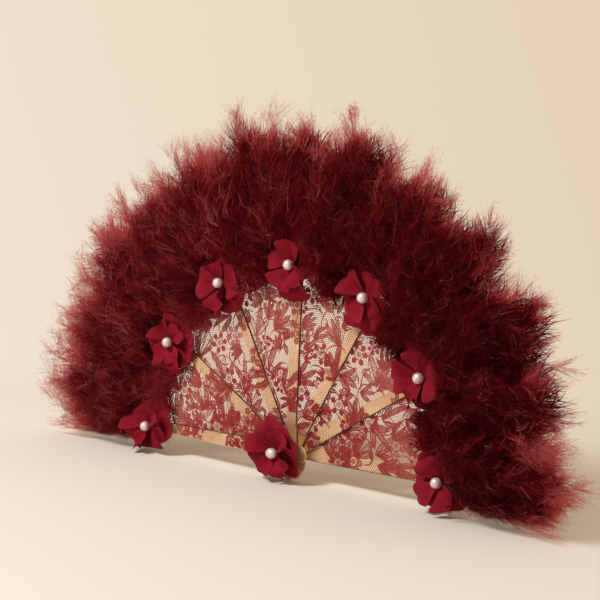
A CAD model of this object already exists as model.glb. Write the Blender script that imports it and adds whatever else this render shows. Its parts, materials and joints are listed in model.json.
import json
import bmesh
import bpy
import numpy as np
from mathutils import Matrix, Vector


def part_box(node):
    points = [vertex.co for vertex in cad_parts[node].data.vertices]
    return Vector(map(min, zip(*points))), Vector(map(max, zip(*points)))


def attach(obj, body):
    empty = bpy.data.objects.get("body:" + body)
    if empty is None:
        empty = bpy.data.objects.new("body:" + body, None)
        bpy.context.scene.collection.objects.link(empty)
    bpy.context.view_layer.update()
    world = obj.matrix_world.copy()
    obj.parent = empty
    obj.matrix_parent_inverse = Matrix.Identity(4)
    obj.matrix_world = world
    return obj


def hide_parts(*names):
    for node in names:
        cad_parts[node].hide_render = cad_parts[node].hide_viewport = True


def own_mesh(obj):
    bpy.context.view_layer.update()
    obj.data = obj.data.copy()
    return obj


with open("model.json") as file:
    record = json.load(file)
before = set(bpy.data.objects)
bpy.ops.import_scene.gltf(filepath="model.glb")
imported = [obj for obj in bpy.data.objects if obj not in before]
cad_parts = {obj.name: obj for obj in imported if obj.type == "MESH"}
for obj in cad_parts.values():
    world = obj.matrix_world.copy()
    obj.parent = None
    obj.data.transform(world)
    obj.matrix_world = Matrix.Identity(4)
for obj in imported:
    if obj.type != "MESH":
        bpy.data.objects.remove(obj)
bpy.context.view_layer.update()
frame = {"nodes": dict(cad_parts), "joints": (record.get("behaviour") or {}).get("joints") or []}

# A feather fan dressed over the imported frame: metres, +Z up, the front faces -Y.
# Each blade (stick, lace panel, tuft and flower) is drawn lying along its own stick in millimetres: u from
# the rivet outwards, v to the left across the stick, w towards the viewer. toFan carries that to the fan.
mm = 0.001
fan = {
    "sticks": ["left_guard", "stick_2", "stick_3", "stick_4", "stick_5", "stick_6", "right_guard"],
    "openDegrees": 180,
    "middleBlade": 4,
    "pivot": np.array(frame["joints"][0]["pos_m"]),
}
blades = range(1, len(fan["sticks"]) + 1)
step = np.radians(fan["openDegrees"] / (len(blades) - 1))


# A blade's angle is that of its quill binding, seen from the rivet
def bladeAngle(k):
    low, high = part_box(f"quill_binding_{k}")
    away = (np.array(low) + np.array(high)) / 2 - fan["pivot"]
    return np.arctan2(away[2], away[0])


# Where the middle of a CAD node lies on blade k, as u and v
def placeOn(k, node):
    low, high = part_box(node)
    away = ((np.array(low) + np.array(high)) / 2 - fan["pivot"]) / mm
    a = bladeAngle(k)
    return np.array([away[0] * np.cos(a) + away[2] * np.sin(a), away[2] * np.cos(a) - away[0] * np.sin(a)])


# x and z are u and v turned by the blade's angle about the rivet, and y is w counted towards the viewer
def toFan(k, uvw):
    u, v, w = (np.asarray(uvw, float)[..., i] * mm for i in range(3))
    a = bladeAngle(k)
    return np.stack([u * np.cos(a) - v * np.sin(a), -w, u * np.sin(a) + v * np.cos(a)], -1) + fan["pivot"]


# The w of a CAD node's front and back faces
def frontOf(node):
    return (fan["pivot"][1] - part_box(node)[0][1]) / mm


def backOf(node):
    return (fan["pivot"][1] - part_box(node)[1][1]) / mm


def unit(vectors):
    return vectors / np.maximum(np.linalg.norm(vectors, axis=-1, keepdims=True), 1e-12)


def smoothStep(x):
    x = np.clip(x, 0, 1)
    return x * x * (3 - 2 * x)


def between(rng, limits, size):
    return rng.uniform(*limits, size)


def sRgb(r, g, b):
    c = np.array([r, g, b], float) / 255
    return tuple(np.where(c <= 0.04045, c / 12.92, ((c + 0.055) / 1.055) ** 2.4)) + (1.0,)


# Shaders

def operator(operation, reflected=False):
    return lambda wire, other: wire.maths(operation, *((other, wire) if reflected else (wire, other)))


class Wire:
    # a socket that can be added, multiplied and so on, each operation being one Math node
    def __init__(self, nodes, socket):
        self.nodes, self.socket = nodes, socket

    def maths(self, operation, *values):
        return self.nodes.node("Math", "Value", {"operation": operation}, dict(enumerate(values)))

    __add__ = __radd__ = operator("ADD")
    __mul__ = __rmul__ = operator("MULTIPLY")
    __sub__, __rsub__ = operator("SUBTRACT"), operator("SUBTRACT", reflected=True)
    __pow__, below, largest = operator("POWER"), operator("LESS_THAN"), operator("MAXIMUM")

    def wrap(self, period):
        return self.maths("WRAP", self, period / 2, -period / 2)

    def size(self):
        return self.maths("ABSOLUTE", self)

    def clamped(self):
        return self.maths("MINIMUM", self.largest(0.0), 1.0)


class Nodes:
    # a node tree and the few calls that build it
    def __init__(self, tree):
        self.tree = tree

    # any node: its type, the output that is handed on, its settings, and values or wires for its sockets
    def node(self, kind, output, settings=None, sockets=None):
        made = self.tree.nodes.new("ShaderNode" + kind)
        for name, value in (settings or {}).items():
            if name != "stops":
                setattr(made, name, value)
                continue
            elements = made.color_ramp.elements
            while len(elements) < len(value):
                elements.new(0.5)
            for element, (position, colour) in zip(elements, value):
                element.position, element.color = position, colour
        for name, value in (sockets or {}).items():
            self.put(made.inputs[name], value)
        return Wire(self, made.outputs[output])

    def put(self, socket, value):
        if isinstance(value, Wire):
            self.tree.links.new(value.socket, socket)
        else:
            socket.default_value = value

    def parts(self, vector):
        split = self.node("SeparateXYZ", "X", {}, {0: vector}).socket.node
        return [Wire(self, output) for output in split.outputs]

    def map(self, name):
        return self.parts(self.node("UVMap", "UV", {"uv_map": name}))[:2]

    def coordinates(self, name="Object"):
        return self.node("TexCoord", name)

    def vector(self, x, y):
        return self.node("CombineXYZ", "Vector", {}, {"X": x, "Y": y})

    def vectorMath(self, operation, output, *values):
        return self.node("VectorMath", output, {"operation": operation}, dict(enumerate(values)))

    def noise(self, vector, scale, detail):
        return self.node("TexNoise", "Fac", {}, {"Vector": vector, "Scale": scale, "Detail": detail})

    def ramp(self, factor, stops):
        return self.node("ValToRGB", "Color", {"stops": stops}, {"Fac": factor})

    def mix(self, factor, a, b):
        return self.node("Mix", 2, {"data_type": "RGBA"}, {0: factor, 6: a, 7: b})

    # two colours mixed by a cloudy pattern
    def blotched(self, place, scale, detail, dark, light):
        return self.mix(self.noise(place, scale, detail), dark, light)

    # from 0 to 1 while the value goes from start to end, eased at both
    def eased(self, value, start, end):
        sockets = {"Value": value, "From Min": start, "From Max": end}
        return self.node("MapRange", "Result", {"interpolation_type": "SMOOTHSTEP"}, sockets)


class Paint(Nodes):
    # one material
    def __init__(self, name, roughness, **constants):
        self.material = bpy.data.materials.new(name)
        self.material.use_nodes = True
        super().__init__(self.material.node_tree)
        self.set(Roughness=roughness, **constants)

    def set(self, **values):
        for name, value in values.items():
            self.put(self.tree.nodes["Principled BSDF"].inputs[name.replace("_", " ")], value)

    def bump(self, height, strength, distance):
        sockets = {"Height": height, "Strength": strength, "Distance": distance}
        self.set(Normal=self.node("Bump", "Normal", {}, sockets))

    # lets another shader take this share of what the surface shows so far
    def surfaceMix(self, share, other):
        surface = self.tree.nodes["Material Output"].inputs["Surface"]
        shown = Wire(self, surface.links[0].from_socket)
        self.put(surface, self.node("MixShader", "Shader", {}, {0: share, 1: shown, 2: other}))


# Pale bamboo: long grain lines and darker patches along each stick, read from its grain map, and browned by
# handling round the rivet
def bambooPaint():
    paint = Paint("bamboo", 0.55)
    along, across = paint.map("grain")
    lines = paint.noise(paint.vector(along * 6, across * 90), 1.0, 4)
    patches = paint.noise(paint.vector(along * 5, across * 8), 1.0, 2)
    wood = paint.ramp(lines, [(0.3, sRgb(228, 186, 138)), (0.5, sRgb(243, 209, 162)),
                              (0.75, sRgb(250, 224, 184))])
    darker = paint.ramp(patches, [(0.4, (0, 0, 0, 1)), (0.8, (0.5, 0.5, 0.5, 1))])
    wood = paint.mix(darker, wood, sRgb(226, 178, 130))
    away = paint.vectorMath("DISTANCE", "Value", paint.coordinates(), tuple(fan["pivot"]))
    handled = paint.eased(away, 0.030, 0.014)
    paint.set(Base_Color=paint.mix(handled * 0.85, wood, sRgb(176, 118, 66)))
    paint.bump(lines, 0.25, 0.0002)
    return paint.material


# Down: the first number of a strand's map is its tone and the second how far along the strand it is. Part of
# the light goes through a strand, redder deep in the tuft and paler in the rim, which glows against the paper
def downPaint():
    paint = Paint("down", 0.4, Specular_IOR_Level=0.12)
    tone, along = paint.map("OFBake")
    body = paint.ramp(tone, [(0.0, sRgb(32, 0, 4)), (0.35, sRgb(80, 0, 13)), (0.6, sRgb(131, 4, 27)),
                             (0.76, sRgb(162, 42, 50)), (0.9, sRgb(214, 122, 122))])
    paleTip = along * along * ((tone - 0.3) * 1.4).clamped()
    paint.set(Base_Color=paint.mix(paleTip, body, sRgb(210, 104, 106)))
    deep, pale = (paint.node("BsdfTranslucent", "BSDF", {}, {"Color": sRgb(*colour)})
                  for colour in ((186, 24, 38), (238, 136, 128)))
    rim = paint.eased(tone, 0.58, 0.88)
    paint.surfaceMix(0.40, deep)
    paint.surfaceMix(rim * 0.5, pale)
    return paint.material


# Matt cloth petals: a fine weave, and a little paler towards the rim
def petalPaint():
    paint = Paint("petalCloth", 0.8, Specular_IOR_Level=0.06)
    rim, place = paint.map("grain")[1], paint.coordinates()
    cloth = paint.blotched(place, 160.0, 2, sRgb(116, 11, 26), sRgb(138, 24, 41))
    paint.set(Base_Color=paint.mix(rim * 0.2, cloth, sRgb(172, 54, 68)))
    paint.bump(paint.noise(place, 2600.0, 1), 0.3, 0.0001)
    return paint.material


# The distance to the nearest edge of a honeycomb whose cells are this wide, from a place in millimetres. Two
# lattices of cell centres are laid half a step apart; the nearer centre gives the cell, and the distance to
# its edge is half the width less the largest of |x| and |x| / 2 + |y| sqrt(3) / 2
def honeycomb(x, y, width):
    high = width * 3 ** 0.5
    ax, ay = x.wrap(width), y.wrap(high)
    bx, by = (x + width / 2).wrap(width), (y + high / 2).wrap(high)
    pick = (ax * ax + ay * ay).below(bx * bx + by * by)
    gx = (ax * pick + bx * (1 - pick)).size()
    gy = (ay * pick + by * (1 - pick)).size()
    return width / 2 - gx.largest(gx * 0.5 + gy * (3 ** 0.5 / 2))


# The honeycomb's threads are solid and its cells are open. The lace's maps hold millimetres / 100
def lacePaint(name, cell, threadWidth, dark, light, ragged=False):
    paint = Paint(name, 0.85, Specular_IOR_Level=0.2)
    u, v = paint.map("mm")
    place = paint.vector(u, v)
    slack = paint.noise(place, 60.0, 1) - 0.5
    x, y = u * 100 + slack * 0.5, v * 100 - slack * 0.5
    thread = honeycomb(x, y, cell).below(threadWidth / 2)
    if ragged:
        depth = lace["raggedDepth"]
        edge = lace["outer"] - depth + depth * (paint.noise(place, 22.0, 2) - 0.35)
        thread = thread * ((x * x + y * y) ** 0.5).below(edge)
    paint.set(Base_Color=paint.blotched(place, 14.0, 3, dark, light), Alpha=thread)
    return paint.material


# Thread that is paler, by up to the given share, towards the lace's outer edge
def cordPaint(name, dark, light, fade):
    paint = Paint(name, 0.85, Specular_IOR_Level=0.2)
    u, v = paint.map("mm")
    worn = paint.eased((u * u + v * v) ** 0.5, 0.55, 1.3)
    thread = paint.blotched(paint.vector(u, v), 30.0, 3, dark, light)
    paint.set(Base_Color=paint.mix(worn * fade, thread, sRgb(190, 102, 90)))
    return paint.material


def threadPaint():
    paint = Paint("boundThread", 0.7)
    paint.set(Base_Color=paint.blotched(paint.coordinates(), 3000.0, 2, sRgb(70, 10, 20), sRgb(120, 26, 40)))
    return paint.material


def pearlPaint():
    paint = Paint("pearl", 0.42, Metallic=0.4, Coat_Weight=0.8, Coat_Roughness=0.1)
    dark, light = sRgb(226, 204, 202), sRgb(246, 232, 226)
    paint.set(Base_Color=paint.blotched(paint.coordinates(), 350.0, 2, dark, light))
    return paint.material


def brassPaint():
    paint = Paint("brass", 0.35, Metallic=1.0)
    wear = paint.noise(paint.coordinates(), 900.0, 3)
    metal = paint.mix(wear, sRgb(150, 112, 58), sRgb(206, 168, 100))
    paint.set(Base_Color=metal, Roughness=wear * 0.4 + 0.2)
    return paint.material


# Meshes

# A mesh from vertex positions in metres, triangles, and one named map, given for each vertex
def triangleMesh(name, points, triangles, material, uvName="grain", uv=None, smooth=True):
    mesh = bpy.data.meshes.new(name)
    count = len(triangles)
    mesh.vertices.add(len(points))
    mesh.vertices.foreach_set("co", np.ascontiguousarray(points, np.float32).ravel())
    mesh.loops.add(3 * count)
    mesh.loops.foreach_set("vertex_index", np.ascontiguousarray(triangles, np.int32).ravel())
    mesh.polygons.add(count)
    mesh.polygons.foreach_set("loop_start", np.arange(0, 3 * count, 3, dtype=np.int32))
    mesh.polygons.foreach_set("use_smooth", np.full(count, smooth))
    if uv is not None:
        layer = mesh.uv_layers.new(name=uvName)
        layer.data.foreach_set("uv", np.ascontiguousarray(uv[triangles.ravel()], np.float32).ravel())
    mesh.update(calc_edges=True)
    mesh.materials.append(material)
    return linked(name, mesh)


def linked(name, data):
    thing = bpy.data.objects.new(name, data)
    bpy.context.scene.collection.objects.link(thing)
    return thing


def reworked(mesh, change):
    work = bmesh.new()
    work.from_mesh(mesh)
    change(work)
    work.to_mesh(mesh)
    work.free()


# Joins the points that lie on one another, as at the middle of a disc or the poles of a ball
def welded(piece):
    reworked(piece.data, lambda work: bmesh.ops.remove_doubles(work, verts=work.verts[:], dist=2e-6))
    return piece


def halved(quads):
    return np.concatenate([quads[:, [0, 1, 2]], quads[:, [0, 2, 3]]])


# Triangles between the points of a grid of rows by columns. A wrapped grid joins its last column to its first
def gridTriangles(rows, columns, wrapped=False):
    r, c = np.meshgrid(np.arange(rows - 1), np.arange(columns if wrapped else columns - 1), indexing="ij")
    a, b = r * columns + c, r * columns + (c + 1) % columns
    return halved(np.stack([a, b, b + columns, a + columns], -1).reshape(-1, 4))


# Several shapes as one: each is its points, its triangles and, where it has one, its map
def joined(shapes):
    starts = np.cumsum([0] + [len(shape[0]) for shape in shapes[:-1]])
    return [np.concatenate([shape[i] + (start if i == 1 else 0) for shape, start in zip(shapes, starts)])
            for i in range(len(shapes[0]))]


def settle(piece, k, slotName, *nodes):
    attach(piece, f"blade_{k}")
    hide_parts(*nodes)
    return piece


# As the fan closes, what is soft on blade k is pressed towards the line of its own stick, to this share
def pressed(piece):
    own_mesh(piece)


# What hangs below a height is pressed together just over the table: z becomes
# clear + (height - clear) exp((z - height) / (height - clear))
def offTable(placed, height, clear):
    height, clear = height * mm, clear * mm
    closer = clear + (height - clear) * np.exp(np.minimum((placed[:, 2] - height) / (height - clear), 0))
    placed[:, 2] = np.where(placed[:, 2] < height, closer, placed[:, 2])
    return placed


# Down feathers

# Lengths are in millimetres, and tones run from 0, the darkest, to 1. A wave is its size, how many of it go
# round the rivet, and its shift. The last four lists have a value for each blade: how far its plumes reach,
# how much further forward they stand, where the rim turns pale, and how much paler or darker it was dyed
down = {
    "barbSegments": 3,
    "barbWidth": (0.18, 0.42),
    "barbulesEach": 4,
    "barbuleReach": (2.5, 6.0),
    "barbuleWidth": 0.16,
    "locksPerPlume": 11,
    "fuzzLocksPerPlume": 16,
    "limitRadius": 267,
    "tipRadius": 253,
    "innerRadius": {"inFront": 117, "behind": 126, "beside": 134},
    "flowerClear": 22,
    "lifts": (-18, 42),
    "shortOfLimit": 13,
    "highestTip": 38,
    "frontFrom": 128,
    "bumps": 11,
    "bumpWaves": [(0.65, 25, 0.95), (0.35, 15, 0.89)],
    "longShare": 0.1,
    "longExtra": (6, 12),
    "patchTone": 0.09,
    "rimDepth": 30,
    "palest": 0.88,
    "brightShare": 0.065,
    "brightTone": 0.925,
    "paleQuillShare": 0.2,
    "quillTones": (0.5, 0.97),
    "quillThick": (0.2, 0.34),
    "pressedBelow": 13,
    "tableClear": 3,
    "tableShare": 0.9,
    "tableReach": 250,
    "drawnIn": 0.4,
    "drawnBelow": 45,
    "squashKeep": 0.3,
    "reachShares": [1.05, 1.03, 0.965, 0.96, 0.94, 0.96, 0.94],
    "forward": [8, 8, 4, 1, 0, 0, 0],
    "rimFrom": [194, 205, 219, 225, 228, 230, 217],
    "dyed": [0.09, 0.10, 0.08, -0.02, -0.17, -0.21, -0.15],
}
# The rows of plumes on a blade: how many shafts, where they start and end along u, their w at root and tip,
# how many barbs stand on each millimetre of shaft, and how long the barbs are
plumeRows = [dict(zip(("count", "root", "tip", "rootLift", "tipLift", "dense", "barb"), row)) for row in [
    (8, (139, 155), (224, 248), (-7, -1), (-9, 1), 2.6, 25),
    (12, (139, 157), (234, 256), (-3, 4), (1, 18), 3.6, 26),
    (13, (135, 155), (224, 256), (1, 7), (17, 37), 3.8, 26),
    (10, (133, 147), (178, 222), (3, 8), (20, 36), 4.4, 22),
    (11, (130, 140), (147, 182), (4, 8), (12, 30), 4.8, 17),
]]
# The strands that aren't barbs of a plume: how many there are on a blade with a whole step of room, the
# radius and the lift that they start from, and how much they curl
loose = {
    "core": {"count": 5600, "radius": (137, 238), "nearRadius": (131, 150), "nearShare": 0.2,
             "lift": (-4, 14), "length": (14, 24), "width": (0.8, 1.8), "tone": (0.0, 0.2), "curl": 0.04},
    "boa": {"count": 5600, "radius": 135, "spread": 6.5, "before": (1, 9), "behind": (2, 7),
            "beforeShare": 0.75, "length": (8, 18), "width": down["barbWidth"], "tone": (0.25, 0.78),
            "curl": 0.16},
    "fuzz": {"count": 17000, "length": (7, 17), "width": (0.14, 0.26), "tone": (-0.05, 0.55), "curl": 0.16},
    "curls": {"count": 1500, "perLock": 5, "radius": (132, 236), "lift": (4, 12), "rise": 20, "riseOver": 55,
              "length": (9, 20), "width": (0.3, 0.65), "tone": (0.36, 0.72), "curl": 0.24},
    "hairs": {"count": 18, "radius": (134, 205), "lift": (9, 15), "rise": 18, "riseOver": 50,
              "length": (18, 44), "width": (0.26, 0.42), "tone": (0.74, 0.88), "curl": 0.06},
}


# The turns from its stick that a blade's down may stand at. The outermost tufts stop where a plume as long as
# tableReach has come down tableShare of the way to the table
def room(k):
    lowest = np.arcsin(fan["pivot"][2] * down["tableShare"] / (down["tableReach"] * mm))
    return (-lowest if k == len(blades) else -step / 2), (lowest if k == 1 else step / 2)


def fill(k, count):
    low, high = room(k)
    return int(round(count * (high - low) / step))


# A shaft is a quadratic curve: root, bend and tip, weighted (1-s)^2, 2s(1-s) and s^2
def alongShaft(shafts, s):
    s = s[:, None]
    place = (1 - s) ** 2 * shafts[:, 0] + 2 * s * (1 - s) * shafts[:, 1] + s ** 2 * shafts[:, 2]
    heading = (1 - s) * (shafts[:, 1] - shafts[:, 0]) + s * (shafts[:, 2] - shafts[:, 1])
    return place, unit(heading)


# Points of the blade's fan-shaped room, from a radius, a turn from the stick in radians, and a lift
def fromPolar(radius, turn, lift):
    return np.stack([radius * np.cos(turn), radius * np.sin(turn), lift], -1)


# Away from the rivet, leaning forward
def outward(turn, lean=0.0):
    return fromPolar(1, turn, np.full(len(turn), lean))


# The sum of the waves' sines at a turn from the blade's own line
def wavesAt(k, turn, waves):
    return sum(size * np.sin(pace * (bladeAngle(k) + turn) + shift) for size, pace, shift in waves)


# The border's reach rises and falls by these millimetres, which parts it into tufts
def bumpsAt(k, turn):
    return down["bumps"] * wavesAt(k, turn, down["bumpWaves"])


def polarOf(place):
    return np.hypot(place[:, 0], place[:, 1]), np.arctan2(place[:, 1], place[:, 0])


# Light and dark patches that follow the tufts: the waves' shifts change with the radius
def patchesAt(k, place):
    radius, turn = polarOf(place)
    waves = [(0.55, 25, 0.95 + radius / 55), (0.45, 43, 1.3 - radius / 21), (0.45, 17, radius / 14)]
    return down["patchTone"] * wavesAt(k, turn, waves)


# How far a place lies into the pale rim of the border, from 0 to 1
def rimShare(place, k):
    radius, turn = polarOf(place)
    even = radius / down["reachShares"][k - 1] - bumpsAt(k, turn)
    return smoothStep((even - down["rimFrom"][k - 1]) / down["rimDepth"])


# A tone rises towards a pale one in the rim, where the dye looks thin against the light. The tones of bare
# quills and stray bright barbs lie over the palest and stay
def paled(tone, rim):
    paler = np.clip(tone + rim * (0.82 - 0.72 * tone), 0.02, down["palest"])
    return np.where(tone < 0.9, paler, tone)


def drawShafts(rng, k, row):
    n = fill(k, row["count"])
    share = (np.arange(n) + rng.uniform(0.2, 0.8, n)) / n
    rng.shuffle(share)
    low, high = room(k)
    turn = low + (high - low) * share
    rootR = between(rng, row["root"], n)
    bumps = bumpsAt(k, turn)
    tipR = between(rng, row["tip"], n) * down["reachShares"][k - 1] + bumps
    tipR = np.minimum(tipR, down["tipRadius"] + 0.6 * bumps - rng.uniform(0, 5, n))
    tipR += np.where(rng.uniform(0, 1, n) < down["longShare"], between(rng, down["longExtra"], n), 0)
    tipTurn = np.clip(turn * 1.02 + np.radians(rng.normal(0, 2.4, n)), low - 0.03, high + 0.03)
    root = fromPolar(rootR, turn * 0.75, between(rng, row["rootLift"], n))
    tipLift = np.minimum(between(rng, row["tipLift"], n) + down["forward"][k - 1], down["highestTip"])
    tip = fromPolar(tipR, tipTurn, tipLift)
    bend = (root + tip) / 2 + rng.normal(0, 1, (n, 3)) * (tipR - rootR)[:, None] * [0.03, 0.10, 0.05]
    bend[:, 2] += 0.12 * (tip[:, 2] - root[:, 2])
    return np.stack([root, bend, tip], 1)


# Random amounts for strands: one part is shared by the strands of a lock and the other is each strand's own
def shaken(rng, lock, locks, shared, own, *axes):
    return rng.normal(0, shared, (locks, *axes))[lock] + rng.normal(0, own, (len(lock), *axes))


# How the strands of each lock curl: they all swing the same way, each a little more or less than the others
def curled(rng, lock, size, **strands):
    locks, n = lock.max() + 1, len(lock)
    way = unit(rng.normal(0, 1, (locks, 3)))[lock] + rng.normal(0, 0.25, (n, 3))
    much = rng.uniform(0.2, 1.8, locks)[lock] * size * strands["length"]
    phase = rng.uniform(0, 6.28, locks)[lock] + rng.normal(0, 0.25, n)
    return {**strands, "curl": way * much[:, None], "phase": phase, "pace": rng.uniform(2, 6, locks)[lock]}


# Tapering ribbons, each along p(s) = root + length (s first + s^2 (last - first) / 2), plus a swing that
# grows with s: curl s sin(pace s + phase). A ribbon is as wide on both sides of its path and ends in a point
def ribbons(rng, strands, segments):
    n = len(strands["root"])
    s = np.linspace(0, 1, segments + 1)[None, :, None]
    first, last = strands["first"], strands["last"]
    length, pace, phase, width = (strands[x][:, None, None] for x in ("length", "pace", "phase", "width"))
    path = strands["root"][:, None] + length * (s * first[:, None] + s * s * (last - first)[:, None] / 2)
    path = path + s * np.sin(s * pace + phase) * strands["curl"][:, None]
    side = unit(np.cross(first + last, rng.normal(0, 1, (n, 3))))[:, None]
    half = 0.5 * width * (1 - s) ** 0.55
    sides = np.stack([path + half * side, path - half * side], 2)[:, :-1].reshape(n, -1, 3)
    points = np.concatenate([sides, path[:, -1:]], 1)
    left = 2 * np.arange(segments - 1)[:, None]
    end = 2 * segments
    faces = np.concatenate([left + [0, 1, 3], left + [0, 3, 2], [[end - 2, end - 1, end]]])
    along = np.append(np.repeat(s[0, :-1, 0], 2), 1)
    across = np.append(np.tile([-1, 1], segments), 0)
    uv = np.stack([strands["tone"][:, None] + across / 80, np.broadcast_to(along, (n, len(along)))], -1)
    return path, points, faces, uv


# Keeps the ribbons whose whole path is in the fan's room, off the lace and clear of the flowers, its own and
# its neighbours'. Some stop short of the front and back limits, so the border has no flat faces
def inRoom(path, k):
    radius, lift = np.hypot(path[..., 0], path[..., 1]), path[..., 2]
    front, back = frontOf(f"lace_panel_{k}") + 0.5, backOf(f"lace_panel_{k}") - 1.5
    limits = down["innerRadius"]
    ok = radius < down["limitRadius"]
    inner = np.select([lift > front, lift < back], [limits["inFront"], limits["behind"]], limits["beside"])
    ok &= radius > inner
    for turn in (-step, 0, step):
        away = path[..., :2] - flowers["radius"] * np.array([np.cos(turn), np.sin(turn)])
        ok &= (np.hypot(*away.T).T > down["flowerClear"]) | (lift < backOf(f"outer_petals_{k}") - 1)
    short = down["shortOfLimit"] * np.random.default_rng(k).uniform(0, 1, (len(path), 1)) ** 1.5
    ok &= (lift > down["lifts"][0] + short / 2) & (lift < down["lifts"][1] - short)
    return ok.all(1)


def strandMesh(rng, k, strands, segments):
    path, points, faces, uv = ribbons(rng, strands, segments)
    kept = inRoom(path, k)
    points, uv = points[kept], uv[kept]
    triangles = (np.arange(len(points))[:, None, None] * points.shape[1] + faces).reshape(-1, 3)
    return (points.reshape(-1, 3), triangles, uv.reshape(-1, 2)), path[kept], strands["tone"][kept]


# The barbs of one row of plumes. Each leaves its shaft at an angle that closes from 68 to 36 degrees towards
# the tip and bends back along it. Neighbouring barbs share a lock, so they end up drawn together as wisps
def plumeBarbs(rng, k, row, shafts):
    length = np.linalg.norm(shafts[:, 2] - shafts[:, 0], axis=1)
    owner = np.repeat(np.arange(len(shafts)), (length * row["dense"]).astype(int))
    n = len(owner)
    s = 0.03 + 0.97 * rng.uniform(0, 1, n) ** 0.75
    sideOf = rng.integers(0, 2, n)
    each = down["locksPerPlume"]
    lock = (owner * each + np.minimum(s * each, each - 1).astype(int)) * 2 + sideOf
    locks = len(shafts) * each * 2
    place, heading = alongShaft(shafts[owner], s)
    flat = unit(np.cross(heading, [0.0, 0.0, 1.0]))
    up = np.cross(flat, heading)
    roll = np.radians(shaken(rng, lock, locks, 36, 12)) + np.pi * sideOf
    out = np.cos(roll)[:, None] * flat + np.sin(roll)[:, None] * up
    angle = np.radians(68 - 32 * s + shaken(rng, lock, locks, 8, 6))[:, None]
    first = np.cos(angle) * heading + np.sin(angle) * out
    drift = shaken(rng, lock, locks, 0.5, 0.18, 3)
    swell = 0.5 + 0.5 * np.sin(np.pi * np.clip(0.1 + 0.75 * s, 0, 1))
    reach = row["barb"] * swell * rng.uniform(0.5, 1.15, n)
    plumeTone = rng.uniform(0.0, 0.75, len(shafts))[owner] + rng.normal(0, 0.34, locks)[lock]
    tone = plumeTone * 0.62 + patchesAt(k, place) + rng.normal(0, 0.16, n)
    chance = rng.uniform(0, 1, n)
    light, brightest = chance < down["brightShare"] * 2, chance < down["brightShare"] / 2
    tone = np.where(light, np.maximum(tone, rng.uniform(0.5, 0.75, n)), tone)
    tone[brightest] = down["brightTone"]
    width = between(rng, down["barbWidth"], n) * (1 - 0.5 * rimShare(place, k)) * np.where(light, 1.6, 1)
    last = unit(0.6 * first + 0.55 * heading + drift)
    return curled(rng, lock, 0.14, root=place, first=first, last=last, length=reach, width=width, tone=tone)


# Barbules: one thin triangle each, growing from a barb at any place along it
def barbules(rng, path, tone):
    count, points = path.shape[:2]
    owner = np.repeat(np.arange(count), down["barbulesEach"])
    n = len(owner)
    at = rng.uniform(0.1, 0.98, n) * (points - 1)
    low = np.minimum(at.astype(int), points - 2)
    heading = path[owner, low + 1] - path[owner, low]
    here = path[owner, low] + (at - low)[:, None] * heading
    grow = unit(unit(heading) * 1.1 + rng.normal(0, 0.5, (n, 3)))
    reach = between(rng, down["barbuleReach"], (n, 1))
    side = unit(np.cross(grow, rng.normal(0, 1, (n, 3)))) * down["barbuleWidth"] / 2
    corners = np.stack([here - side, here + side, here + grow * reach], 1).reshape(-1, 3)
    along = np.stack([at, at, at + 1], 1) / points
    uv = np.stack([tone[owner][:, None] + np.array([-1, 1, 0]) / 80, along], -1)
    return corners, np.arange(3 * n).reshape(-1, 3), uv.reshape(-1, 2)


# Shafts as thin three-sided spines that taper to the tip
def spines(shafts, width, tone, steps=7):
    n = len(shafts)
    s = np.linspace(0, 1, steps)
    ring = [alongShaft(shafts, np.full(n, x)) for x in s]
    place, heading = np.stack([r[0] for r in ring], 1), np.stack([r[1] for r in ring], 1)
    flat = unit(np.cross(heading, [0.0, 0.0, 1.0]))
    up = np.cross(flat, heading)
    thick = (width[:, None] * (1 - 0.8 * s))[..., None]
    corners = [np.cos(a) * flat + np.sin(a) * up for a in np.radians([90, 210, 330])]
    points = np.stack([place + thick * c for c in corners], 2).reshape(-1, 3)
    tube = gridTriangles(steps, 3, wrapped=True)
    uv = np.stack([np.repeat(tone, steps * 3), np.tile(np.repeat(s * 0.3, 3), n)], -1)
    uv[:, 0] += np.tile([-0.01, 0.01, 0.0], n * steps)
    return points, (np.arange(n)[:, None, None] * steps * 3 + tube).reshape(-1, 3), uv


# Strands of a kind, whose lengths, widths and tones are spread evenly between its limits
def spread(rng, kind, lock, root, first, last, thin=1):
    length, width, tone = (between(rng, kind[name], len(root)) for name in ("length", "width", "tone"))
    return curled(rng, lock, kind["curl"], root=root, first=first, last=last, length=length,
                  width=width * thin, tone=tone)


# Fine loose barbs in small locks round every plume, which fill the gaps and end the rim in a soft fuzz
def fuzzStrands(rng, k, kind, shafts):
    n = fill(k, kind["count"])
    owner = rng.integers(0, len(shafts), n)
    s = 0.15 + 0.85 * rng.uniform(0, 1, n) ** 0.5
    each = down["fuzzLocksPerPlume"]
    lock = owner * each + (s * (each - 0.01)).astype(int)
    locks = lock.max() + 1
    place, heading = alongShaft(shafts[owner], s)
    root = place + shaken(rng, lock, locks, 6, 2.5, 3)
    first = unit(heading + shaken(rng, lock, locks, 0.55, 0.25, 3))
    last = unit(first + shaken(rng, lock, locks, 0.6, 0.2, 3))
    length = between(rng, kind["length"], n)
    tone = between(rng, kind["tone"], locks)[lock] + patchesAt(k, root) + rng.normal(0, 0.12, n)
    width = between(rng, kind["width"], n) * (1 - 0.35 * rimShare(root, k))
    return curled(rng, lock, kind["curl"], root=root, first=first, last=last, length=length, tone=tone,
                  width=width)


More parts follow.
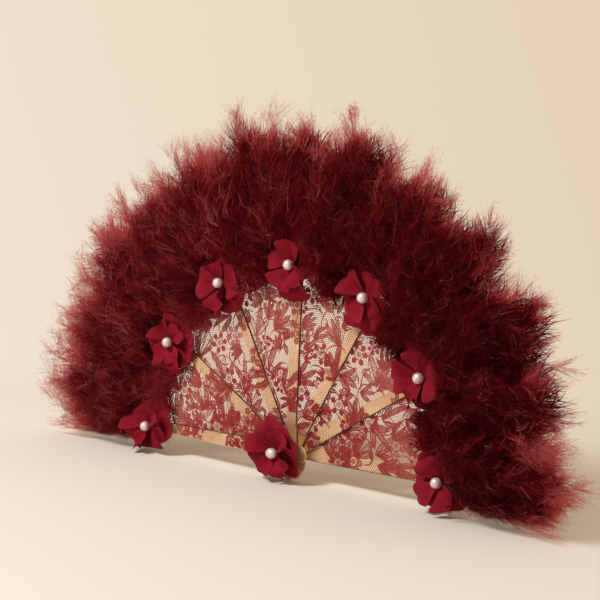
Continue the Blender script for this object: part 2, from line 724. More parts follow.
# Broad dark strands deep in the tuft, which make it opaque as the packed down of real plumes does
def coreStrands(rng, k, kind):
    n = fill(k, kind["count"])
    turn = rng.uniform(*room(k), n)
    isNear, near = rng.uniform(0, 1, n) < kind["nearShare"], between(rng, kind["nearRadius"], n)
    low, high = kind["radius"]
    radius = np.where(isNear, near, low + (high - low) * rng.uniform(0, 1, n) ** 0.7)
    out = radius * down["reachShares"][k - 1] + bumpsAt(k, turn) * smoothStep((radius - 180) / 50)
    root = fromPolar(out, turn, between(rng, kind["lift"], n))
    first = unit(outward(turn) + rng.normal(0, 0.5, (n, 3)))
    last = unit(first + rng.normal(0, 0.4, (n, 3)))
    return spread(rng, kind, np.arange(n), root, first, last, 1 - 0.35 * smoothStep((radius - 205) / 33))


# The front of the down, which rises from the flowers outwards
def frontLift(rng, k, kind, radius):
    low = down["forward"][k - 1] + between(rng, kind["lift"], len(radius))
    return low + kind["rise"] * smoothStep((radius - down["frontFrom"]) / kind["riseOver"])


# Short glossy curls in small locks that lie on the front of the down
def curlStrands(rng, k, kind):
    n = fill(k, kind["count"])
    locks = n // kind["perLock"]
    lock = np.arange(n) % locks
    turn = rng.uniform(*room(k), locks)
    radius = between(rng, kind["radius"], locks) * down["reachShares"][k - 1]
    root = fromPolar(radius, turn, frontLift(rng, k, kind, radius))[lock] + rng.normal(0, 1.2, (n, 3))
    heading = outward(turn, 0.2) + rng.normal(0, 0.5, (locks, 3))
    first = unit(heading[lock] + rng.normal(0, 0.15, (n, 3)))
    last = unit(first + shaken(rng, lock, locks, 0.8, 0.15, 3))
    length = between(rng, kind["length"], n)
    tone = between(rng, kind["tone"], locks)[lock] + 1.6 * patchesAt(k, root) + rng.normal(0, 0.05, n)
    tone += 0.7 * down["dyed"][k - 1]
    return curled(rng, lock, kind["curl"], root=root, first=first, last=last, length=length, tone=tone,
                  width=between(rng, kind["width"], n))


# Single long pale hairs that cross the front of the down
def strayHairs(rng, k, kind):
    n = fill(k, kind["count"])
    turn = rng.uniform(*room(k), n)
    radius = between(rng, kind["radius"], n)
    root = fromPolar(radius, turn, frontLift(rng, k, kind, radius))
    first = unit(outward(turn, 0.15) + rng.normal(0, 0.45, (n, 3)))
    return spread(rng, kind, np.arange(n), root, first, unit(first + rng.normal(0, 0.5, (n, 3))))


# A boa of loose barbs round the string that the feathers are tied on, standing out in every direction, some
# of them before the edge of the lace and some behind it
def boaStrands(rng, k, kind):
    n = fill(k, kind["count"])
    turn = rng.uniform(*room(k), n)
    isBefore = rng.uniform(0, 1, n) < kind["beforeShare"]
    before = between(rng, kind["before"], n) + frontOf(f"lace_panel_{k}")
    behind = backOf(f"lace_panel_{k}") - between(rng, kind["behind"], n)
    radius = rng.normal(kind["radius"], kind["spread"], n)
    root = fromPolar(radius, turn, np.where(isBefore, before, behind))
    locks = n // 6
    lock = rng.integers(0, locks, n)
    first = unit(rng.normal(0, 1, (n, 3)) + [0.0, 0.0, 0.3])
    last = unit(first + rng.normal(0, 0.5, (locks, 3))[lock] + [0.2, 0.0, 0.0])
    return spread(rng, kind, lock, root, first, last)


# Low down the plumes draw in towards the sticks
def onTable(placed):
    near = 1 - down["drawnIn"] * (1 - smoothStep(placed[:, 2] / down["drawnBelow"] / mm))
    placed[:, 1] = fan["pivot"][1] + (placed[:, 1] - fan["pivot"][1]) * near
    return offTable(placed, down["pressedBelow"], down["tableClear"])


def downPiece(name, k, shapes, paint):
    points, triangles, uv = joined(shapes)
    uv[:, 0] = paled(uv[:, 0], rimShare(points, k))
    uv[:, 0] += down["dyed"][k - 1] * (1 - 0.9 * smoothStep((uv[:, 0] - 0.5) / 0.35))
    uv = np.clip(uv, 0.002, 0.998)
    piece = triangleMesh(f"{name}_{k}", onTable(toFan(k, points)), triangles, paint, "OFBake", uv)
    print(name, k, len(triangles), "triangles")
    settle(piece, k, "down", f"feather_tuft_{k}")
    pressed(piece)


# The border on one blade is two pieces: the plumes, and the fluff that fills the room between them
def featherTuft(k, paint):
    rng = np.random.default_rng(40 + k)
    plumes, everyShaft = [], []
    for row in plumeRows:
        shafts = drawShafts(rng, k, row)
        barbs, path, tone = strandMesh(rng, k, plumeBarbs(rng, k, row, shafts), down["barbSegments"])
        isPale = rng.uniform(0, 1, len(shafts)) < down["paleQuillShare"]
        thick, dark, pale = between(rng, down["quillThick"], len(shafts)), *down["quillTones"]
        quills = spines(shafts, thick, np.where(isPale, pale, dark))
        plumes += [barbs, barbules(rng, path, tone), quills]
        everyShaft.append(shafts)
    core = strandMesh(rng, k, coreStrands(rng, k, loose["core"]), 2)[0]
    boa, path, tone = strandMesh(rng, k, boaStrands(rng, k, loose["boa"]), down["barbSegments"])
    fuzz = strandMesh(rng, k, fuzzStrands(rng, k, loose["fuzz"], np.concatenate(everyShaft)), 2)[0]
    downPiece("plumes", k, plumes, paint)
    glossy = strandMesh(rng, k, curlStrands(rng, k, loose["curls"]), 4)[0]
    hairs = strandMesh(rng, k, strayHairs(rng, k, loose["hairs"]), 9)[0]
    downPiece("fluff", k, [core, boa, barbules(rng, path, tone), fuzz, glossy, hairs], paint)


# Flowers

# turnShare is where a ring's first petal points, as a share of half a turn from the blade's own line
flowers = {
    "radius": 137,
    "outer": {"petals": 5, "reach": 28.5, "width": 13.8, "rise": 0.20, "spoon": 3.4, "droop": 3.8,
              "ruffle": 1.9, "fold": 4.8, "turnShare": 1, "hubHeight": 3.4},
    "inner": {"petals": 4, "reach": 22.5, "width": 11.2, "rise": 0.44, "spoon": 3.6, "droop": 3.0,
              "ruffle": 1.6, "fold": 6.5, "turnShare": 0.75, "hubHeight": 3.0},
    "rings": 11,
    "spokes": 34,
    "hubRadius": 3.0,
    "overHub": 2.6,
    "stagger": 0.5,
    "clothThickness": 0.25,
    "pressedBelow": 9,
    "tableClear": 0.8,
    "squashKeep": 0.3,
    "pearlRadius": 4.0,
    "pearlRings": 33,
    "pearlSpokes": 48,
    "dimpleShare": 0.16,
    "dimpleAngle": 0.11,
    "pivotPearlStretch": 1.18,
}


# A petal is a disc drawn out from the flower's middle: rho and theta run over the disc, x = reach (0.5 + 0.5
# rho cos theta) and y = width rho sin theta, narrowed towards the base, with a notch at the tip. Its sides
# lift like a spoon's, its tip droops, its rim is ruffled, and a crease or a fold runs along its middle
def petal(rng, ring):
    rho, theta = np.meshgrid(np.linspace(0, 1, flowers["rings"]),
                             np.linspace(0, 2 * np.pi, flowers["spokes"], False), indexing="ij")
    away = np.angle(np.exp(1j * theta))
    notch = rng.uniform(0.08, 0.26) * np.exp(-((away - rng.normal(0, 0.15)) / 0.36) ** 2)
    reach, width = ring["reach"] * rng.uniform(0.80, 1.03), ring["width"] * rng.uniform(0.84, 1.2)
    edge = rho * (1 - notch) * (1 + 0.03 * np.sin(3 * theta + rng.uniform(0, 6.28)))
    x = reach * (0.5 + 0.5 * edge * np.cos(theta))
    y = width * edge * np.sin(theta) * (0.22 + 0.9 * smoothStep(x / (0.8 * reach)))
    out, wide = np.clip(x / reach, 0, 1), y / width
    z = ring["rise"] * rng.uniform(0.6, 1.3) * x
    z += ring["spoon"] * rng.uniform(0.2, 1.4) * wide ** 2 * np.sin(np.pi * np.clip(out, 0, 0.9))
    z -= ring["droop"] * rng.uniform(0.2, 1.5) * smoothStep((out - 0.55) / 0.45) ** 1.4
    z += ring["ruffle"] * rho ** 3 * out * np.sin(rng.uniform(2.0, 4.0) * theta + rng.uniform(0, 6.28))
    z -= 0.9 * np.exp(-(y / 1.5) ** 2) * np.exp(-((out - 0.35) / 0.3) ** 2)
    z += rng.normal(0, 0.12) * y + 0.3 * wide * np.sin(5 * out + rng.uniform(0, 6.28))
    fold = ring["fold"] * rng.uniform(-0.3, 1.3)
    z += fold * np.sqrt(wide ** 2 + 0.015) * np.sin(np.pi * np.clip(out, 0, 0.8))
    return np.stack([x, y, z], -1).reshape(-1, 3), np.stack([out.ravel(), rho.ravel() ** 2], -1)


# The gathered cloth under a whorl: a short stem that flares a little at its foot and top
def hubOf(height, levels=5, around=20):
    level = np.linspace(0, 1, levels)
    profile = flowers["hubRadius"] * (0.75 + 0.25 * (2 * level - 1) ** 2)
    a = np.linspace(0, 2 * np.pi, around, False)
    ruffle = 1 + 0.08 * np.sin(5 * a)
    points = np.stack([np.outer(profile, np.cos(a) * ruffle), np.outer(profile, np.sin(a) * ruffle),
                       np.repeat(level[:, None] * height, around, 1)], -1).reshape(-1, 3)
    return points, gridTriangles(levels, around, wrapped=True), np.full((len(points), 2), 0.1)


def whorl(k, which, name, centre, paint):
    rng = np.random.default_rng(500 + 10 * k + (which == "inner"))
    ring, node = flowers[which], f"{which}_petals_{name}"
    offset = ring["turnShare"] * np.pi + rng.uniform(-0.2, 0.2) + (0.4 * np.sin(bladeAngle(k)) if k else 0)
    shapes = [hubOf(ring["hubHeight"])]
    for i in range(ring["petals"]):
        points, uv = petal(rng, ring)
        tilt = rng.normal(0, 0.18) + 0.16
        points[:, 2] += tilt * points[:, 1] + flowers["stagger"] * (i % 2) + flowers["overHub"]
        turn = offset + 2 * np.pi * (i + rng.normal(0, 0.08)) / ring["petals"]
        points[:, :2] = turned(points[:, :2], turn, [0, 0])
        shapes.append((points, gridTriangles(flowers["rings"], flowers["spokes"], wrapped=True), uv))
    points, triangles, uv = joined(shapes)
    placed = toFan(k or fan["middleBlade"], points + [*centre, backOf(node)])
    placed = offTable(placed, flowers["pressedBelow"], flowers["tableClear"])
    piece = welded(triangleMesh(f"{which}_petals_of_flower_{name}", placed, triangles, paint, "grain", uv))
    cloth = piece.modifiers.new("cloth", "SOLIDIFY")
    cloth.thickness, cloth.offset = flowers["clothThickness"] * mm, 0
    solid = bpy.data.meshes.new_from_object(piece.evaluated_get(bpy.context.evaluated_depsgraph_get()))
    piece.modifiers.clear()
    piece.data = solid
    settle(piece, k or 1, "petal", node)
    if k:
        pressed(piece)


# A drilled bead: a half circle swept round, with a small dimple where the hole comes out at each pole
def pearl(k, name, centre, paint):
    node, stretch = f"pearl_{name}", 1 if k else flowers["pivotPearlStretch"]
    lat, lon = np.meshgrid(np.linspace(0, np.pi, flowers["pearlRings"]),
                           np.linspace(0, 2 * np.pi, flowers["pearlSpokes"], False), indexing="ij")
    dimple = flowers["dimpleShare"] * np.exp(-(np.minimum(lat, np.pi - lat) / flowers["dimpleAngle"]) ** 2)
    r = flowers["pearlRadius"] * (1 - dimple)
    x, waist = r * np.cos(lat), r * np.sin(lat)
    points = np.stack([x, waist * np.cos(lon) * stretch, waist * np.sin(lon)], -1).reshape(-1, 3)
    placed = toFan(k or fan["middleBlade"], points + [*centre, backOf(node) + flowers["pearlRadius"]])
    triangles = gridTriangles(*lat.shape, wrapped=True)[:, ::-1]
    uv = np.stack([lon.ravel(), lat.ravel()], -1)
    piece = welded(triangleMesh(f"bead_of_flower_{name}", placed, triangles, paint, "grain", uv))
    settle(piece, k or 1, "pearl", node)


# Flower 0 is the one over the rivet, which stands on the middle blade's line and moves with the first blade
def flower(k, paints):
    name = k or "pivot"
    centre = placeOn(k or fan["middleBlade"], f"pearl_{name}")
    whorl(k, "outer", name, centre, paints["petal"])
    whorl(k, "inner", name, centre, paints["petal"])
    pearl(k, name, centre, paints["pearl"])


# Lace

stick = {"neck": 24, "length": 212, "neckHalf": 5.6, "tipHalf": 3.0, "tail": 22, "headHalf": 6.5,
         "headEnd": 2, "arcPoints": 14, "runPoints": 60, "bevel": 0.35}
# levels are how far each kind of thread stands over the net. The two lists of shares have a value for each
# panel: how full of motifs it is, and how close they may come
lace = {
    "inner": 14.3,
    "outer": 132,
    "raggedDepth": 9,
    "edgeInset": 0.5,
    "behindNext": 0.4,
    "rows": 60,
    "columns": 24,
    "wave": 0.12,
    "levels": {"fill": 0.10, "outline": 0.18, "vein": 0.22, "hem": 0.26},
    "hemWidth": 0.4,
    "hemDepth": 1.3,
    "bareBelow": 0.15,
    "fullnessShares": [0.35, 2.4, 1.7, 1.3, 1.3, 1.25, 2.2],
    "closeShares": [1.0, 0.80, 1.0, 1.0, 1.0, 0.96, 0.84],
    "largestOnStick": 5,
    "tries": 500,
    "openFrom": 88,
    "openOver": 50,
    "openShare": 0.8,
    "squashKeep": 0.16,
}


def stickHalf(u):
    share = (u - stick["neck"]) / (stick["length"] - stick["neck"])
    return stick["neckHalf"] + share * (stick["tipHalf"] - stick["neckHalf"])


# The angles at which a panel starts, on the right edge of its own stick, and ends, behind the stick before
# it. The first panel only covers its own stick
def panelEdges(k, radius):
    half = stickHalf(radius) - lace["edgeInset"]
    right = -np.arcsin(np.clip(half / radius, 0, 0.6))
    return right, (-right if k == 1 else step - np.arcsin(lace["behindNext"] / radius))


# The cloth lies a touch wavy between the sticks: its w is back + wave (1 + sin sin)
def onCloth(k, points):
    points = points.copy()
    wave = np.sin(points[..., 0] * 0.17 + k) * np.sin(points[..., 1] * 0.13 + 2 * k)
    points[..., 2] += backOf(f"lace_panel_{k}") + lace["wave"] * (1 + wave)
    return points


# Lays a shape of the lace, drawn flat, on blade k
def laceMesh(name, k, placed, points, triangles, paint, smooth=False):
    uv = points[:, :2] / 100
    piece = triangleMesh(f"{name}_{k}", toFan(k, placed), triangles, paint, "mm", uv, smooth)
    return settle(piece, k, "lace", f"lace_panel_{k}")


def clothSheet(k, paint):
    radius = np.linspace(lace["inner"], lace["outer"], lace["rows"])[:, None]
    right, left = panelEdges(k, radius)
    share = np.linspace(0, 1, lace["columns"])[None, :]
    angle = right + share * (left - right)
    flat = fromPolar(radius, angle, np.zeros_like(angle)).reshape(-1, 3)
    triangles = gridTriangles(lace["rows"], lace["columns"])
    a, b, c = (flat[triangles[:, i], :2] for i in range(3))
    area = 0.5 * np.abs(np.cross(b - a, c - a)).sum() * mm * mm
    size = [float(x) * mm for x in flat[:, :2].max(0) - flat[:, :2].min(0)]
    return laceMesh("lace", k, onCloth(k, flat), flat, triangles, paint, smooth=True), size, float(area)


def atLevel(flat, level):
    return np.concatenate([flat, np.full((len(flat), 1), level)], 1)


# A ribbon along a line of points, of one width or a width for each point
def lineRibbon(line, width, level, closed=False):
    ahead, behind = np.roll(line, -1, 0), np.roll(line, 1, 0)
    if not closed:
        ahead[-1], behind[0] = line[-1], line[0]
    along = unit(ahead - behind)
    side = np.stack([-along[:, 1], along[:, 0]], -1) * np.asarray(width).reshape(-1, 1) / 2
    points = np.stack([line - side, line + side], 1).reshape(-1, 2)
    i = np.arange(len(line) if closed else len(line) - 1)
    j = (i + 1) % len(line)
    return atLevel(points, level), halved(np.stack([2 * i, 2 * j, 2 * j + 1, 2 * i + 1], 1))


# A filled patch from its middle to a closed line
def patch(line, level):
    i = np.arange(len(line))
    triangles = np.stack([np.zeros_like(i), i + 1, (i + 1) % len(line) + 1], 1)
    return atLevel(np.concatenate([line.mean(0)[None], line]), level), triangles


def turned(line, angle, at):
    c, s = np.cos(angle), np.sin(angle)
    return line @ np.array([[c, s], [-s, c]]) + at


def towards(angle):
    return np.array([np.cos(angle), np.sin(angle)])


# A leaf's edge: a lens from (0, 0) to (length, 0), (width / 2) sin(pi x^skew)^0.75 to each side of a middle
# line that is bent like a bow
def leafEdge(length, width, bend, skew=1.0, n=9):
    x = np.linspace(0, 1, n)
    half = width / 2 * np.sin(np.pi * x ** skew) ** 0.75
    middle = bend * length * x * (1 - x)
    lower = np.stack([x * length, middle - half], -1)
    upper = np.stack([x * length, middle + half], -1)[::-1][1:-1]
    return np.concatenate([lower, upper]), np.stack([x * length, middle], -1)


# One leaf or petal: a filled patch with a thick cord round it, and thin veins
def lacyLeaf(rng, at, angle, length, width, veins, skew=1.0, filled=True):
    levels = lace["levels"]
    edge, middle = leafEdge(length, width, rng.uniform(-0.45, 0.45), skew)
    outline = turned(edge, angle, at)
    fills = [patch(outline, levels["fill"])] if filled else []
    cords = [lineRibbon(outline, rng.uniform(0.55, 0.85), levels["outline"], closed=True)]
    for share in np.linspace(-0.5, 0.5, veins) if veins > 1 else [0.0]:
        vein = middle[1:-1] + (middle - edge[:len(middle)])[1:-1] * share
        cords.append(lineRibbon(turned(vein, angle, at), 0.5, levels["vein"]))
    return fills, cords


# A blossom: solid or woven petals round an open eye with a woven middle
def lacyFlower(rng, at, radius):
    levels = lace["levels"]
    fills, cords = [], []
    petals, solid = int(rng.integers(5, 8)), rng.uniform() < 0.5
    start = rng.uniform(0, 6.28)
    for i in range(petals):
        turn = start + 2 * np.pi * i / petals + rng.normal(0, 0.06)
        edge, _ = leafEdge(0.56 * radius, 0.52 * radius, rng.uniform(-0.3, 0.3), 0.85)
        outline = turned(edge, turn, at + 0.46 * radius * towards(turn))
        if solid:
            cords.append(patch(outline, levels["outline"]))
        else:
            fills.append(patch(outline, levels["fill"]))
            cords.append(lineRibbon(outline, 0.45, levels["outline"], closed=True))
    a = np.linspace(0, 2 * np.pi, 18, False)
    ring = np.stack([np.cos(a), np.sin(a)], -1) * (1 + 0.05 * np.sin(petals * a))[:, None]
    fills.append(patch(at + 0.27 * radius * ring, levels["fill"]))
    cords.append(lineRibbon(at + 0.46 * radius * ring, 0.07 * radius + 0.2, levels["vein"], closed=True))
    return fills, cords


# A spray: striped leaves side by side on one stalk, the middle ones longest
def lacySpray(rng, at, angle, length, leaves):
    fills, cords = [], []
    for i in range(leaves):
        share = (i - (leaves - 1) / 2) / max(leaves - 1, 1)
        size = length * (1 - 0.8 * share ** 2) * rng.uniform(0.85, 1.1)
        width, veins = length * rng.uniform(0.15, 0.22), int(rng.integers(1, 4))
        filled = rng.uniform() < 0.8
        leaf = lacyLeaf(rng, at, angle + share * 1.2, size, width, veins, skew=1.2, filled=filled)
        fills += leaf[0]
        cords += leaf[1]
    return fills, cords


# A scroll: a curve that tightens towards its end, thickest in its middle
def lacyScroll(rng, at, angle, length):
    x = np.linspace(0, 1, 16)
    swing = rng.choice([-1, 1]) * rng.uniform(1.4, 3.4)
    heading = angle + swing * x ** 1.5
    line = at + np.cumsum(towards(heading).T * length / len(x), 0)
    return [], [lineRibbon(line, 0.75 * np.sin(np.pi * (0.1 + 0.8 * x)) + 0.25, lace["levels"]["outline"])]


# The kinds of motif, from the largest to the smallest: size in millimetres, how many a panel should get, and
# how near its neighbours it may come, as a share of the two sizes
motifPlan = [
    ("spray", 12.0, 4, 0.72), ("flower", 8.6, 4, 0.80), ("spray", 8.0, 7, 0.72), ("flower", 6.2, 6, 0.80),
    ("scroll", 9.0, 9, 0.45), ("leaf", 5.0, 14, 0.66), ("spray", 4.6, 18, 0.66), ("scroll", 5.0, 16, 0.50),
    ("flower", 3.6, 14, 0.74), ("leaf", 3.0, 46, 0.64),
]


def drawMotif(rng, kind, size, at, turn):
    if kind == "flower":
        return lacyFlower(rng, at, size)
    if kind == "spray":
        return lacySpray(rng, at - size * towards(turn), turn, size * 1.95, int(rng.integers(3, 6)))
    if kind == "scroll":
        return lacyScroll(rng, at - size * towards(turn), turn, size * 2.8)
    return lacyLeaf(rng, at - 0.9 * size * towards(turn), turn, size * 1.8, size * 0.7, 1)


# Motifs are tried at random places. They keep off their neighbours and off stretches of the sticks, and get
# sparser towards the outer edge of the middle panels
def scatterMotifs(rng, k):
    fills, cords, taken = [], [], []
    for kind, size, most, nearness in motifPlan:
        fits = k > 1 or size < lace["largestOnStick"]
        placed, wanted = 0, round(most * lace["fullnessShares"][k - 1]) if fits else 0
        for _ in range(lace["tries"]):
            radius = np.sqrt(rng.uniform(lace["inner"] ** 2, (lace["outer"] - 2) ** 2))
            angle = rng.uniform(*panelEdges(k, radius))
            at = radius * towards(angle)
            close = nearness * lace["closeShares"][k - 1] * (0.8 + 0.2 * smoothStep((radius - 40) / 60))
            near = any(np.hypot(*(at - p)) < close * (size + q) for p, q in taken)
            onStick = abs(at[1]) < stickHalf(at[0]) + 0.65 * size
            bare = onStick and np.sin(0.12 * at[0] + 2.1 * k) < lace["bareBelow"]
            far = lace["openShare"] * smoothStep((radius - lace["openFrom"]) / lace["openOver"])
            if near or bare or placed == wanted or (2 < k < 7 and rng.uniform() < far):
                continue
            taken.append((at, size))
            placed += 1
            made = drawMotif(rng, kind, size, at, angle + rng.choice([-1, 1]) * rng.uniform(0.1, 1.3))
            fills += made[0]
            cords += made[1]
    return fills, cords


# Cuts away what lies on the normal's side of a plane
def cutAlong(mesh, origin, normal):
    def cut(work):
        everything = work.verts[:] + work.edges[:] + work.faces[:]
        bmesh.ops.bisect_plane(work, geom=everything, plane_co=origin, plane_no=normal, clear_outer=True)
        bmesh.ops.triangulate(work, faces=work.faces[:])
    reworked(mesh, cut)


def panelMotifs(k, name, shapes, paint):
    points, triangles = joined(shapes)
    piece = laceMesh(f"lace_{name}", k, onCloth(k, points), points, triangles, paint)
    radii = np.array([lace["inner"] + 2, lace["outer"]])
    for edge, sign in zip(panelEdges(k, radii), (-1, 1)):
        ends = toFan(k, fromPolar(radii, edge, 0 * radii))
        along = ends[1] - ends[0]
        cutAlong(piece.data, ends[0], sign * Vector((-along[2], 0, along[0])))
    return piece


# The dark edge of the lace, folded round the right side of the stick
def foldedHem(k, paint):
    u = np.linspace(lace["inner"] + 4, lace["outer"], 50)
    edge = -stickHalf(u) - 0.06
    front = backOf(f"lace_panel_{k}") + lace["levels"]["hem"] + lace["wave"] * 2
    strips = [(edge + lace["hemWidth"], front), (edge, front), (edge, front - lace["hemDepth"])]
    points = np.stack([np.stack([u, v, np.full_like(u, w)], -1) for v, w in strips]).reshape(-1, 3)
    return laceMesh("lace_hem", k, points, points, gridTriangles(3, len(u)), paint)


def lacePanel(k, paints):
    rng = np.random.default_rng(900 + k)
    sheet, size, area = clothSheet(k, paints["net"])
    fills, cords = scatterMotifs(rng, k)
    motifs = [panelMotifs(k, "fill", fills, paints["fill"]), panelMotifs(k, "cord", cords, paints["cord"]),
              foldedHem(k, paints["hem"])]
    if k > 1:
        for piece in [sheet] + motifs[:2]:
            pressed(piece)
    counts = [len(piece.data.polygons) for piece in motifs]
    print("lace", k, "flat", np.round(size, 4), "area", round(area, 6), counts)


# Sticks

# The outline runs round the rounded tail, out along one edge, round the tip, and back
def stickOutline():
    head, tip, start = stick["headHalf"], stick["tipHalf"], stick["headEnd"]
    tail = np.linspace(np.pi / 2, 3 * np.pi / 2, stick["arcPoints"])
    end = np.linspace(-np.pi / 2, np.pi / 2, stick["arcPoints"])
    tailArc = np.stack([head - stick["tail"] + head * np.cos(tail), head * np.sin(tail)], -1)
    tipArc = np.stack([stick["length"] - tip + tip * np.cos(end), tip * np.sin(end)], -1)
    run = np.linspace(start, stick["length"] - tip, stick["runPoints"])[:-1]
    neck = head + (stick["neckHalf"] - head) * smoothStep((run - start) / (stick["neck"] - start))
    half = np.where(run < stick["neck"], neck, stickHalf(run))
    return np.concatenate([tailArc, np.stack([run, -half], -1), tipArc, np.stack([run, half], -1)[::-1]])


def drawStick(k, node, paint):
    rng = np.random.default_rng(70 + k)
    outline = stickOutline()
    outline[:, 1] *= 1 + 0.015 * np.sin(outline[:, 0] * 0.09 + rng.uniform(0, 6))
    back, front, bevel = backOf(node), frontOf(node), stick["bevel"]
    n = len(outline)
    inward = unit(np.roll(outline, -1, 0) - np.roll(outline, 1, 0))
    inward = np.stack([-inward[:, 1], inward[:, 0]], -1) * bevel
    rings = [(1, back), (0.3, back + 0.1), (0, back + bevel),
             (0, front - bevel), (0.3, front - 0.1), (1, front)]
    points = np.concatenate([atLevel(outline + share * inward, w) for share, w in rings])
    # each cap is a strip of quads between the outline's right side and the mirror points on its left side
    near = (stick["arcPoints"] // 2 + np.arange(n // 2)) % n
    far = (stick["arcPoints"] - 1 - near) % n
    cap = halved(np.stack([near[:-1], near[1:], far[1:], far[:-1]], 1))
    sides = gridTriangles(len(rings), n, wrapped=True)
    faces = np.concatenate([sides, cap[:, ::-1], cap + (len(rings) - 1) * n])
    uv = points[:, :2] / 100 + [k * 1.7, k * 0.9]
    piece = triangleMesh(f"wood_{node}", toFan(k, points), faces, paint, "grain", uv, smooth=False)
    settle(piece, k, "bamboo", node)


binding = {"turns": 11, "steps": 24, "around": 6, "threadRadius": 0.29, "length": 6.4, "at": 136.5,
           "overSides": 0.32, "insideFaces": 0.3, "squareness": 0.45}


# Thread wound round a stick: a tube along a flattened helix, whose cos and sin are raised to a power that
# squares its turns
def threadBinding(k, paint):
    node, s = f"quill_binding_{k}", binding
    t = np.linspace(0, s["turns"] * 2 * np.pi, s["turns"] * s["steps"] + 1)
    back, front = backOf(node), frontOf(node)
    halfW, halfV = (front - back) / 2 - s["insideFaces"], stickHalf(s["at"]) + s["overSides"]
    across, forward = (np.sign(x) * np.abs(x) ** s["squareness"] for x in (np.cos(t), np.sin(t)))
    along = placeOn(k, node)[0] - s["length"] / 2 + s["length"] * t / t[-1]
    path = np.stack([along, halfV * across, (back + front) / 2 + halfW * forward], -1)
    heading = unit(np.gradient(path, axis=0))
    side = unit(np.cross(heading, [1.0, 0.0, 0.0]))
    up = np.cross(side, heading)
    a = np.linspace(0, 2 * np.pi, s["around"], False)[:, None]
    ring = path[:, None] + s["threadRadius"] * (np.cos(a) * side[:, None] + np.sin(a) * up[:, None])
    triangles = gridTriangles(len(path), s["around"], wrapped=True)
    settle(triangleMesh(f"thread_{k}", toFan(k, ring.reshape(-1, 3)), triangles, paint), k, "thread", node)


# Camera, lights and the table

view = {
    "place": tuple(fan["pivot"] + [0.6881, -0.78708, 0.18338]),
    "right": (0.74963, 0.65973, 0.05308),
    "up": (-0.08372, 0.01496, 0.99638),
    "forward": (-0.65654, 0.75136, -0.06645),
    "lens": 84,
    "sensor": 36,
    "farthest": 50,
}
ambient = {"all": 0.29, "behind": 0.42, "colour": (1.0, 0.79, 0.63, 1.0)}
lamps = {
    "key": {"place": (-0.38, -1.42, 1.45), "size": 0.55, "power": 33, "colour": (0.92, 0.98, 1.0)},
    "fill": {"place": (1.5, -1.2, 0.9), "size": 1.2, "power": 1.0, "colour": (1.0, 0.97, 0.94)},
}


def addCamera():
    data = bpy.data.cameras.new("camera")
    data.lens, data.sensor_width, data.clip_end = view["lens"], view["sensor"], view["farthest"]
    camera = linked("camera", data)
    right, up, forward = (Vector(view[x]) for x in ("right", "up", "forward"))
    turn = Matrix((right, up, -forward)).transposed()
    camera.matrix_world = Matrix.Translation(view["place"]) @ turn.to_4x4()
    bpy.context.scene.camera = camera


def addLamp(name, place, size, power, colour, aim=(0, 0, 0.12)):
    data = bpy.data.lights.new(name, "AREA")
    data.shape, data.size, data.energy, data.color = "DISK", size, power, colour
    away = Vector(place) - Vector(aim)
    turn = away.to_track_quat("Z", "Y").to_matrix()
    linked(name, data).matrix_world = Matrix.Translation(place) @ turn.to_4x4()


# The seamless paper behind the fan, as a camera at the photo's place sees it: its colour goes from left to
# right and from the middle of the picture up to its top with the direction of sight
paper = {
    "span": 0.42,
    "top": (sRgb(239, 224, 203), sRgb(229, 209, 184)),
    "middle": (sRgb(241, 229, 210), sRgb(231, 214, 190)),
}


def paperColour(nodes, sight):
    sides = [nodes.vectorMath("DOT_PRODUCT", "Value", sight, view[name]) for name in ("right", "up")]
    across, rise = ((side * (1 / paper["span"]) + 0.5).clamped() for side in sides)
    return nodes.mix(rise, nodes.mix(across, *paper["middle"]), nodes.mix(across, *paper["top"]))


# The camera sees the paper. The light comes from the same world, stronger from behind the fan
def addWorld():
    world = bpy.data.worlds.new("studio")
    bpy.context.scene.world = world
    world.use_nodes = True
    nodes = Nodes(world.node_tree)
    sight = nodes.coordinates("Generated")
    seen = nodes.node("Background", "Background", {}, {"Color": paperColour(nodes, sight)})
    strength = (nodes.parts(sight)[1] * 0.5 + 0.5) * ambient["behind"] + ambient["all"]
    light = nodes.node("Background", "Background", {}, {"Color": ambient["colour"], "Strength": strength})
    shaders = {0: nodes.node("LightPath", "Is Camera Ray"), 1: light, 2: seen}
    surface = world.node_tree.nodes["World Output"].inputs["Surface"]
    nodes.put(surface, nodes.node("MixShader", "Shader", {}, shaders))


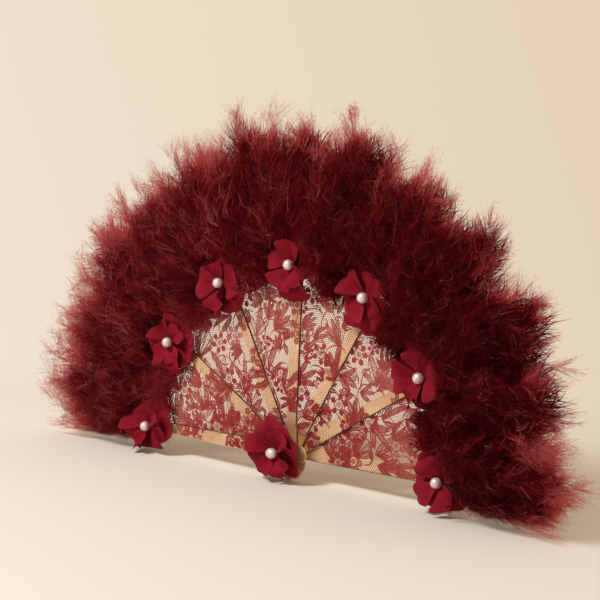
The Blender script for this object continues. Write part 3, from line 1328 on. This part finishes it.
# A large table whose surface turns into the paper's colour away from the fan, so no horizon shows
table = {"half": 20, "colour": sRgb(242, 234, 220), "fades": ((0.14, 0.28, 0.28), (0.36, 0.68, 0.72))}


def addTable():
    paint = Paint("table", 0.9, Base_Color=table["colour"], Specular_IOR_Level=0.1)
    place = paint.coordinates()
    radius = paint.vectorMath("LENGTH", "Value", place)
    first, second = (paint.eased(radius, near, far) * share for near, far, share in table["fades"])
    away = paint.vectorMath("SUBTRACT", "Vector", place, view["place"])
    sight = paint.vectorMath("NORMALIZE", "Vector", away)
    glow = paint.node("Emission", "Emission", {}, {"Color": paperColour(paint, sight)})
    paint.surfaceMix((first + second) * paint.node("LightPath", "Is Camera Ray"), glow)
    mesh = bpy.data.meshes.new("table")
    corners = [(x * table["half"], y * table["half"], 0) for x, y in ((-1, -1), (1, -1), (1, 1), (-1, 1))]
    mesh.from_pydata(corners, [], [(0, 1, 2, 3)])
    mesh.materials.append(paint.material)
    linked("table", mesh)


addCamera()
addWorld()
addTable()
for name, settings in lamps.items():
    addLamp(name, **settings)
bpy.context.scene.view_settings.view_transform = "Standard"
print("stage made")

paints = {
    "bamboo": bambooPaint(),
    "down": downPaint(),
    "petal": petalPaint(),
    "pearl": pearlPaint(),
    "brass": brassPaint(),
    "boundThread": threadPaint(),
    "net": lacePaint("laceNet", 1.75, 0.42, sRgb(146, 88, 70), sRgb(192, 136, 110), ragged=True),
    "fill": lacePaint("laceFill", 0.8, 0.35, sRgb(144, 56, 52), sRgb(180, 94, 82)),
    "cord": cordPaint("laceCord", sRgb(126, 26, 34), sRgb(158, 54, 54), 0.4),
    "hem": cordPaint("laceHem", sRgb(62, 24, 20), sRgb(112, 52, 42), 0.0),
}

for k, node in zip(blades, fan["sticks"]):
    drawStick(k, node, paints["bamboo"])
    lacePanel(k, paints)
    threadBinding(k, paints["boundThread"])
print("sticks, lace and thread made")

for k in (*blades, 0):
    flower(k, paints)
print("flowers made")

for k in blades:
    featherTuft(k, paints["down"])

for node in ("rivet", "rivet_cap", "front_washer", "back_washer"):
    metal = frame["nodes"][node].data.materials
    metal.clear()
    metal.append(paints["brass"])
